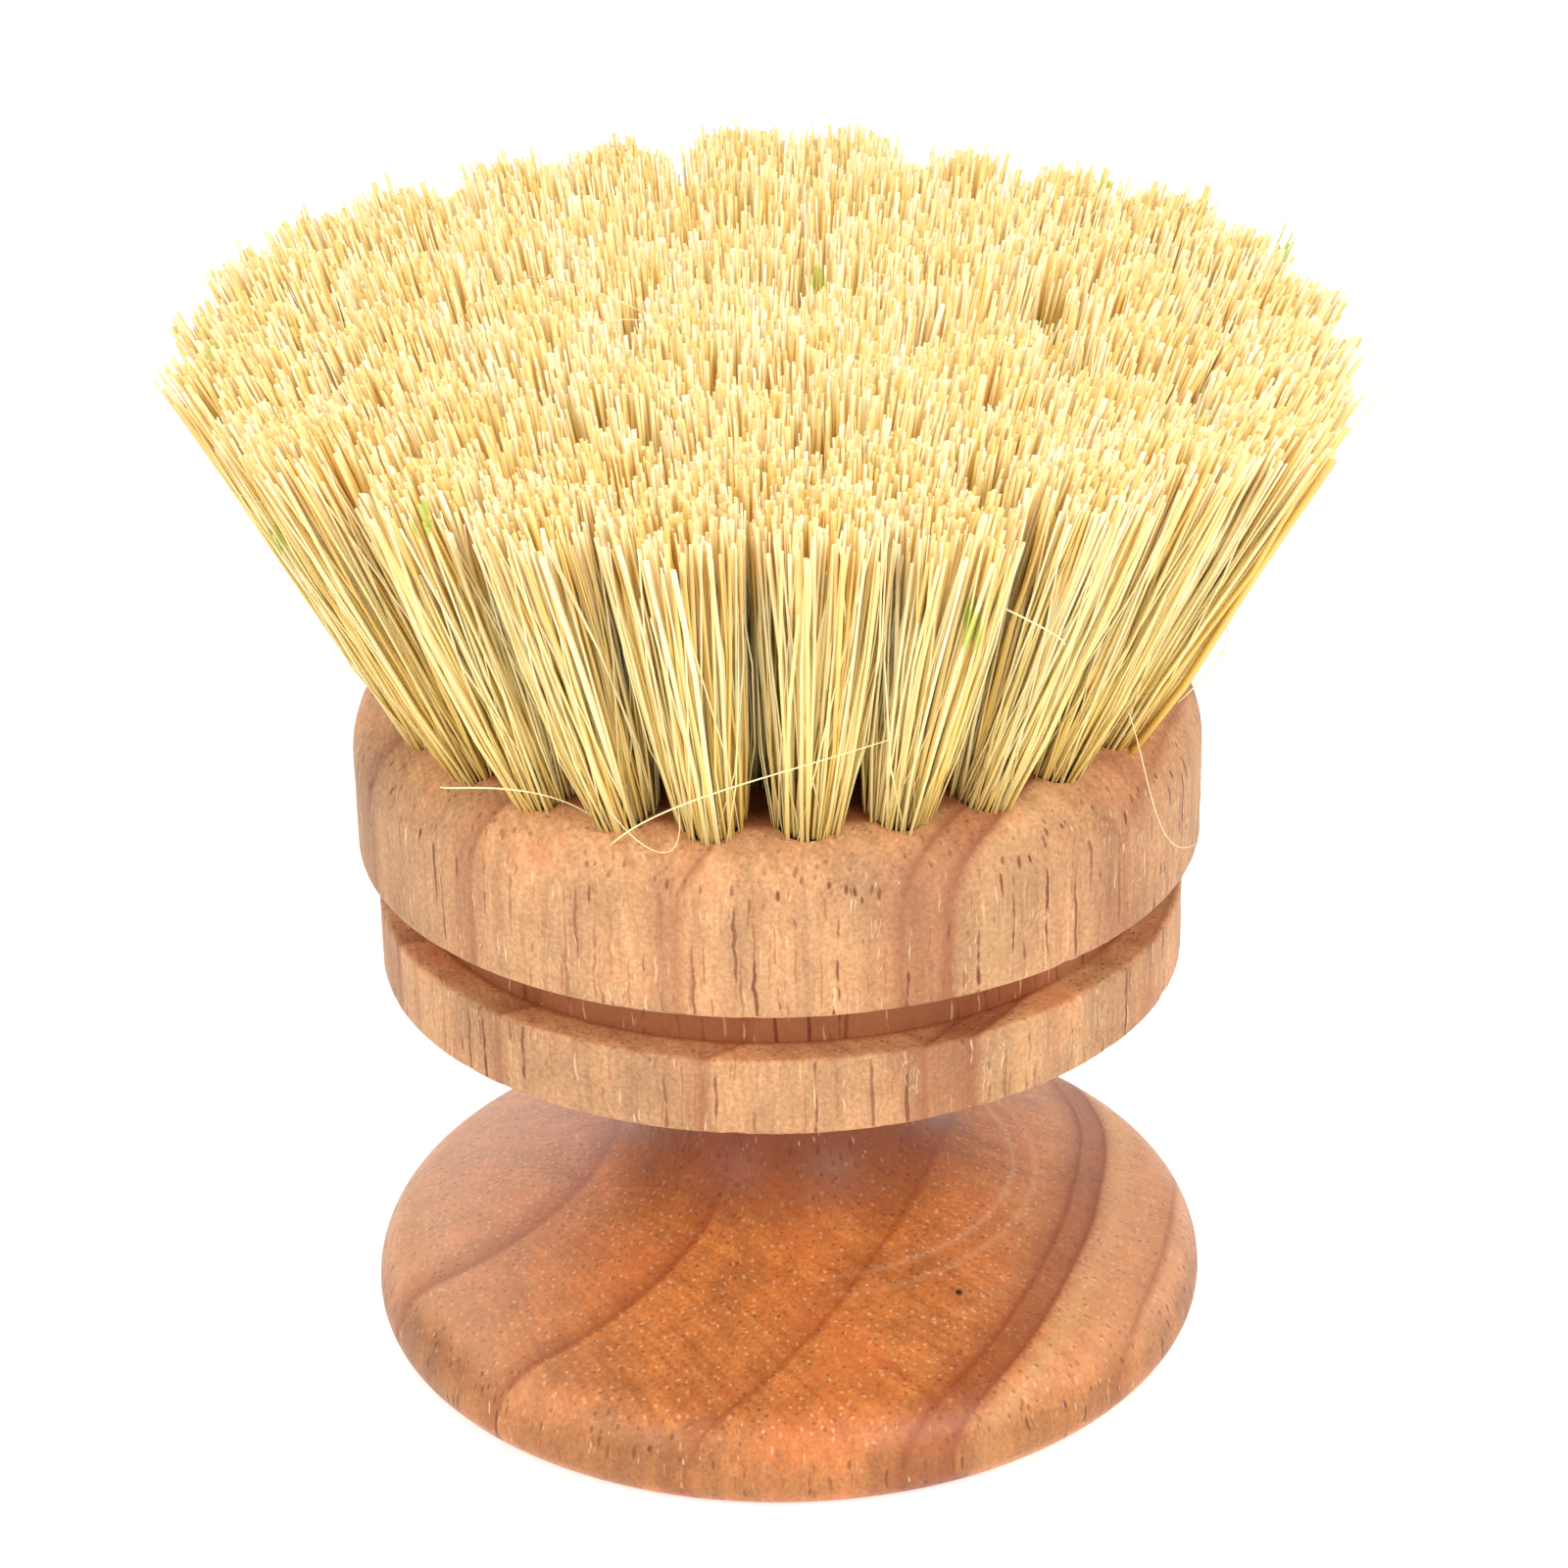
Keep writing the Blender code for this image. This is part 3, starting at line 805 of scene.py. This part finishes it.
def turned_body(bare, sealed):
    """The body with its holes drilled: bare wood from the flange up, and sealed wood below it."""
    mesh = revolved("turned_body_wood", evenly(body_profile()))
    worn(mesh)
    blank = bpy.data.objects.new("blank", mesh)
    holes = hole_cutters()
    for helper in (blank, holes):
        bpy.context.scene.collection.objects.link(helper)
    drill = blank.modifiers.new("drill", "BOOLEAN")
    drill.operation = "DIFFERENCE"
    drill.object = holes
    drilled = bpy.data.meshes.new_from_object(blank.evaluated_get(bpy.context.evaluated_depsgraph_get()))
    for helper in (blank, holes):
        bpy.data.objects.remove(helper, do_unlink=True)
    drilled.shade_smooth()
    drilled.set_sharp_from_angle(angle=SHARP_ANGLE)
    body = shown("turned_body_wood", drilled, bare)
    drilled.materials.append(sealed)
    for polygon in drilled.polygons:
        polygon.material_index = polygon.center.z < FLANGE_BOTTOM - EDGE_ROUNDING
    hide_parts("turned_body")


def fibre_mesh(name, verts, values):
    """Skins rows of rings with quads and flat end caps, and stores one value of each kind per point."""
    count, rings, sides = verts.shape[:3]
    index = np.arange(count * rings * sides).reshape(count, rings, sides)
    following = np.roll(index, -1, axis=2)
    quads = np.stack([index[:, :-1], following[:, :-1], following[:, 1:], index[:, 1:]], -1).reshape(-1, 4)
    caps = np.concatenate([index[:, -1], index[:, 0, ::-1]])
    mesh = bpy.data.meshes.new(name)
    mesh.from_pydata(verts.reshape(-1, 3), [], quads.tolist() + caps.tolist())
    smooth = np.zeros(len(mesh.polygons), bool)
    smooth[:len(quads)] = True
    mesh.polygons.foreach_set("use_smooth", smooth)
    for key, value in values.items():
        held = mesh.attributes.new(key, "FLOAT", "POINT")
        full = np.broadcast_to(value[:, :, None], (count, rings, sides))
        held.data.foreach_set("value", full.astype(np.float32).ravel())
    return mesh


def swept(middles, across, widths, flatness, sides):
    """Rings of points round each middle line, whose flat side faces across it."""
    run = np.gradient(middles, axis=1)
    run /= np.linalg.norm(run, axis=-1, keepdims=True)
    edge = np.cross(run, across[:, None])
    edge /= np.linalg.norm(edge, axis=-1, keepdims=True)
    face = np.cross(edge, run) * flatness[:, None, None]
    angles = np.arange(sides) * 2 * math.pi / sides
    round_ = np.cos(angles)[:, None] * edge[:, :, None] + np.sin(angles)[:, None] * face[:, :, None]
    return middles[:, :, None] + round_ * widths[:, :, None, None] / 2


def lengths(vectors):
    """The length of each vector in an array of them."""
    return np.linalg.norm(vectors, axis=-1)


def packed_and_fanned():
    """Where each fibre stands across its tuft: evenly in a unit circle, in the hole, and at the trim in
    shares of the tuft's room there. Some cross over the outside of the tuft, to another side of it."""
    order = (np.arange(FIBRES) + 0.5) / FIBRES
    angle = np.arange(FIBRES) * math.pi * (3 - math.sqrt(5)) + rng.uniform(0, 2 * math.pi)
    circle = np.stack([np.cos(angle), np.sin(angle)], -1) * np.sqrt(order)[:, None]
    root = (circle + rng.normal(0, ROOT_JITTER, (FIBRES, 2))) * (HOLE_RADIUS - FIBRE_WIDTH / 2)
    clumps = rng.normal(0, CLUMP_SPREAD, (CLUMPS, 2))[rng.integers(0, CLUMPS, FIBRES)]
    tip = circle + clumps + rng.normal(0, TIP_SCATTER, (FIBRES, 2))
    reach = lengths(tip)
    tip *= np.minimum(1, FAN_LIMIT / reach)[:, None]

    crossing = rng.random(FIBRES) < CROSSING_SHARE
    count = crossing.sum()
    around = angle[crossing] + rng.uniform(*CROSSING_TURN, count) * rng.choice((-1, 1), count)
    root[crossing] = circle[crossing] / lengths(circle[crossing])[:, None]
    root[crossing] *= HOLE_RADIUS - CROSSING_WIDTH / 2
    tip[crossing] = np.stack([np.cos(around), np.sin(around)], -1)
    return circle, root, tip, reach, crossing


def trimmed(start, end, reach):
    """The fibres' ends, each moved along its fibre to the ragged trim."""
    cut = (TRIM_HEIGHT + TRIM_ABOVE + TRIM_RISE * end[:, 1]
           - TRIM_DROOP * np.maximum(0, end[:, 0] - DROOP_FROM))
    height = (cut + rng.normal(0, TUFT_HEIGHTS) + rng.normal(0, TRIM_ROUGHNESS, FIBRES)
              - TRIM_DOME * np.minimum(reach, DOME_LIMIT) ** 3)
    short = rng.random(FIBRES) < SHORT_FIBRE_SHARE
    height[short] -= rng.uniform(*SHORTENED, short.sum())
    run = end - start
    return start + run * ((height - start[:, 2]) / run[:, 2])[:, None]


def bulge_over(root, tip):
    """How far the middle of a crossing fibre stands out, so that it passes round the tuft, not through it."""
    middle = (root + tip) / 2
    way_round = (lengths(root) + lengths(tip)) / 2
    straight = lengths(middle)
    return middle * ((way_round - straight + CROSSING_LIFT) / straight)[:, None]


def fibre_widths(circle, crossing, t):
    """Each fibre's width at each of its rings, and which fibres are in the swollen core."""
    width = FIBRE_WIDTH * np.exp(rng.normal(0, WIDTH_VARIATION, FIBRES))
    width = np.clip(width, *FIBRE_WIDTHS)
    width[crossing] = CROSSING_WIDTH
    taper = 1 - THINNER_ROOT * (1 - t) + rng.normal(0, THICKNESS_WAVER, (FIBRES, FIBRE_RINGS))
    core = (lengths(circle) < CORE_REACH) & ~crossing
    taper[core] *= 1 + CORE_SWELL * np.sin(math.pi * t**CORE_SWELL_SKEW)
    return width[:, None] * taper, core


def cut_slanting(verts, middles):
    """Slides the corners of each fibre's tip along the fibre towards one height, so the cut looks sheared."""
    run = middles[:, -1] - middles[:, 0]
    level = middles[:, -1, None, 2] - verts[:, -1, :, 2]
    level *= rng.uniform(0.0, SLANTED_CUT, FIBRES)[:, None]
    verts[:, -1] += (run / run[:, 2:])[:, None] * level[..., None]


def tuft_mesh(ring, index):
    """One folded bundle: fibres packed in the hole, fanned out to a level but ragged trim."""
    lean = ring_lean(ring)
    place = np.array(tuft_frame(ring, index))
    rise = TRIM_HEIGHT - face_height(ring_radius(ring))
    fan = (ring_radius(ring) + rise * math.tan(lean)) / ring_radius(ring)
    spread = np.array([
        RING_SPACING * fan / 2 - TIP_GAP,
        ring_radius(ring) * fan * math.sin(math.pi / RING_COUNTS[ring]) - TIP_GAP,
    ]) * (1 + INNER_SPREAD * ring)

    circle, root, tip, reach, crossing = packed_and_fanned()
    tip = tip * spread
    stray = rng.normal(0, TUFT_STRAY, 2)
    start = np.concatenate([root, np.full((FIBRES, 1), -FIBRE_START)], -1)
    end = np.concatenate([tip + stray, np.full((FIBRES, 1), rise / math.cos(lean))], -1)
    start = start @ place[:3, :3].T + place[:3, 3]
    end = end @ place[:3, :3].T + place[:3, 3]
    end[:, :2] *= FAN_CLOSING
    end[:, 0] += FAN_SHIFT
    end = trimmed(start, end, reach)

    t = np.linspace(0, 1, FIBRE_RINGS)
    bend = rng.normal(0, FIBRE_BEND, (2, FIBRES, 3))
    bend[0][crossing] += bulge_over(root[crossing], tip[crossing]) @ place[:3, :2].T
    middles = start[:, None] + (end - start)[:, None] * t[None, :, None]
    middles += bend[0][:, None] * np.sin(math.pi * t)[None, :, None]
    middles += bend[1][:, None] * SECOND_BEND * np.sin(2 * math.pi * t)[None, :, None]

    widths, core = fibre_widths(circle, crossing, t)
    across = np.cross(middles[:, -1] - middles[:, 0], rng.normal(0, 1, (FIBRES, 3)))
    verts = swept(middles, across, widths, rng.uniform(*FIBRE_FLATNESS, FIBRES), FIBRE_SIDES)
    cut_slanting(verts, middles)

    tone = np.clip(rng.random(FIBRES) + rng.normal(TONE_RAISED, TONE_SHIFT), TONE_FLOOR, 1)
    # Painted shade: the core fibres are made more golden, for the shade deep inside the tuft
    tone[core] *= CORE_SHADE_TONE
    tone[crossing] = CROSSING_TONE
    return fibre_mesh(f"tuft_ring{ring + 1}_{index + 1:02d}_fibres", verts, {
        "tone": np.repeat(tone[:, None], FIBRE_RINGS, 1),
        "along": np.repeat(t[None], FIBRES, 0),
    })


def all_tufts(material):
    for ring, index in tufts():
        node = f"tuft_ring{ring + 1}_{index + 1:02d}"
        fibres = shown(f"{node}_fibres", tuft_mesh(ring, index), material)
        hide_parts(node)


def smooth_curve(points, t):
    """A smooth curve that passes near the points."""
    steps = lengths(np.diff(points, axis=0)).cumsum()
    known = np.concatenate([[0.0], steps / steps[-1]])
    order = min(HAIR_CURVE_ORDER, len(points) - 1)
    return np.stack([np.polyval(np.polyfit(known, points[:, axis], order), t) for axis in range(3)], -1)


def loose_hairs(material):
    """Thin fibres that worked loose and lie over the tufts and the shoulder, drawn as smooth curves. The
    sides that the photograph hides carry some of the same ones, turned round the axis."""
    t = np.linspace(0, 1, HAIR_POINTS)
    middles, widths, faces = [], [], []
    for turn in HAIR_TURNS:
        spin = np.array(Matrix.Rotation(turn, 3, "Z"))
        for points, width in HAIRS:
            if turn and rng.random() < HAIR_SKIPPED:
                continue
            middles.append(smooth_curve(np.array(points) * MM, t) @ spin.T)
            widths.append(width * MM * (1 - HAIR_THINNING * t**3))
            faces.append(spin @ HAIR_FACING)
    count = len(middles)
    verts = swept(np.array(middles), np.array(faces), np.array(widths), np.full(count, HAIR_FLATNESS),
                  HAIR_SIDES)
    mesh = fibre_mesh("loose_hairs", verts, {
        "tone": np.full((count, HAIR_POINTS), HAIR_TONE),
        "along": np.full((count, HAIR_POINTS), HAIR_ALONG),
    })
    shown("loose_hairs", mesh, material)


def wood_fuzz(material):
    """Pale slivers along the turned walls, lying close with their ends a little lifted."""
    picks = rng.choice(len(SLIVER_WALLS), SLIVER_PATCHES, p=[share for *_, share in SLIVER_WALLS])
    patch = rng.integers(0, SLIVER_PATCHES, SLIVERS)
    radius, low, high = (np.array([wall[k] for wall in SLIVER_WALLS])[picks][patch] for k in range(3))
    turn = rng.uniform(0, 2 * math.pi, SLIVER_PATCHES)[patch] + rng.normal(0, PATCH_WIDTH, SLIVERS) / radius
    length = rng.uniform(*SLIVER_LENGTH, SLIVERS)
    height = (low + (high - low) * rng.random(SLIVER_PATCHES)[patch]
              + rng.normal(0, PATCH_HEIGHT, SLIVERS))
    height = np.clip(height, low, high - length)
    slant = rng.normal(0, SLIVER_SLANT, SLIVERS) / radius
    t = np.linspace(0, 1, SLIVER_POINTS)
    curl = rng.normal(0, SLIVER_CURL, SLIVERS)[:, None]
    curl = curl * np.sin(math.pi * t * rng.uniform(*SLIVER_CURLS, SLIVERS)[:, None])
    at_turn = turn[:, None] + slant[:, None] * t + curl / radius[:, None]
    lift = np.abs(t - SLIVER_HELD_AT) ** 1.5 * rng.uniform(0, 2, SLIVERS)[:, None]
    out = radius[:, None] + SLIVER_LIFT * lift
    middles = np.stack([out * np.cos(at_turn), out * np.sin(at_turn),
                        height[:, None] + length[:, None] * t], -1)
    widths = SLIVER_WIDTH * (1 - SLIVER_POINTED * np.abs(2 * t - 1) ** 2)
    widths = widths * rng.uniform(*SLIVER_WIDTH_SHARES, SLIVERS)[:, None]
    outwards = np.stack([np.cos(turn), np.sin(turn), np.zeros(SLIVERS)], -1)
    verts = swept(middles, outwards, widths, np.full(SLIVERS, SLIVER_FLATNESS), SLIVER_SIDES)
    shown("wood_fuzz", fibre_mesh("wood_fuzz", verts, {}), material)


def white_card():
    """Matt card that glows a little, so that it stays white under the brush."""
    made, _, surface = new_material("white_card")
    surface.inputs["Base Color"].default_value = linear("#D0D0D0")
    surface.inputs["Roughness"].default_value = 0.8
    surface.inputs["Emission Color"].default_value = linear("#FFFFFF")
    surface.inputs["Emission Strength"].default_value = FLOOR_GLOW
    return made


def studio():
    """A white floor, even white surroundings and large soft lights."""
    world = bpy.data.worlds.new("studio")
    bpy.context.scene.world = world
    world.use_nodes = True
    background = world.node_tree.nodes["Background"]
    background.inputs["Color"].default_value = linear("#FFFFFF")
    background.inputs["Strength"].default_value = WORLD_BRIGHTNESS

    shape = bmesh.new()
    bmesh.ops.create_grid(shape, x_segments=1, y_segments=1, size=FLOOR_REACH)
    mesh = bpy.data.meshes.new("floor")
    shape.to_mesh(mesh)
    shape.free()
    floor = bpy.data.objects.new("floor", mesh)
    bpy.context.scene.collection.objects.link(floor)
    mesh.materials.append(white_card())

    middle = Vector((0, 0, TRIM_HEIGHT / 2))
    for name, place, size, power in LIGHTS:
        light = bpy.data.lights.new(name, "AREA")
        light.size = size
        light.energy = power
        lamp = bpy.data.objects.new(name, light)
        bpy.context.scene.collection.objects.link(lamp)
        lamp.location = place
        lamp.rotation_euler = (middle - Vector(place)).to_track_quat("-Z", "Y").to_euler()


def camera():
    data = bpy.data.cameras.new("camera")
    data.lens = CAMERA_LENS
    data.sensor_width = SENSOR_WIDTH
    made = bpy.data.objects.new("camera", data)
    bpy.context.scene.collection.objects.link(made)
    made.matrix_world = (
        Matrix.Translation((0, -CAMERA_DISTANCE, CAMERA_HEIGHT))
        @ Matrix.Rotation(-CAMERA_YAW, 4, "Z")
        @ Matrix.Rotation(math.pi / 2 - CAMERA_PITCH, 4, "X")
        @ Matrix.Rotation(CAMERA_ROLL, 4, "Z")
    )
    bpy.context.scene.camera = made


camera()
studio()
bpy.context.scene.view_settings.view_transform = "Standard"
turned_body(bare_hardwood(), sealed_hardwood())
wood_fuzz(fuzz_fibre())
fibre = plant_fibre()
all_tufts(fibre)
loose_hairs(fibre)
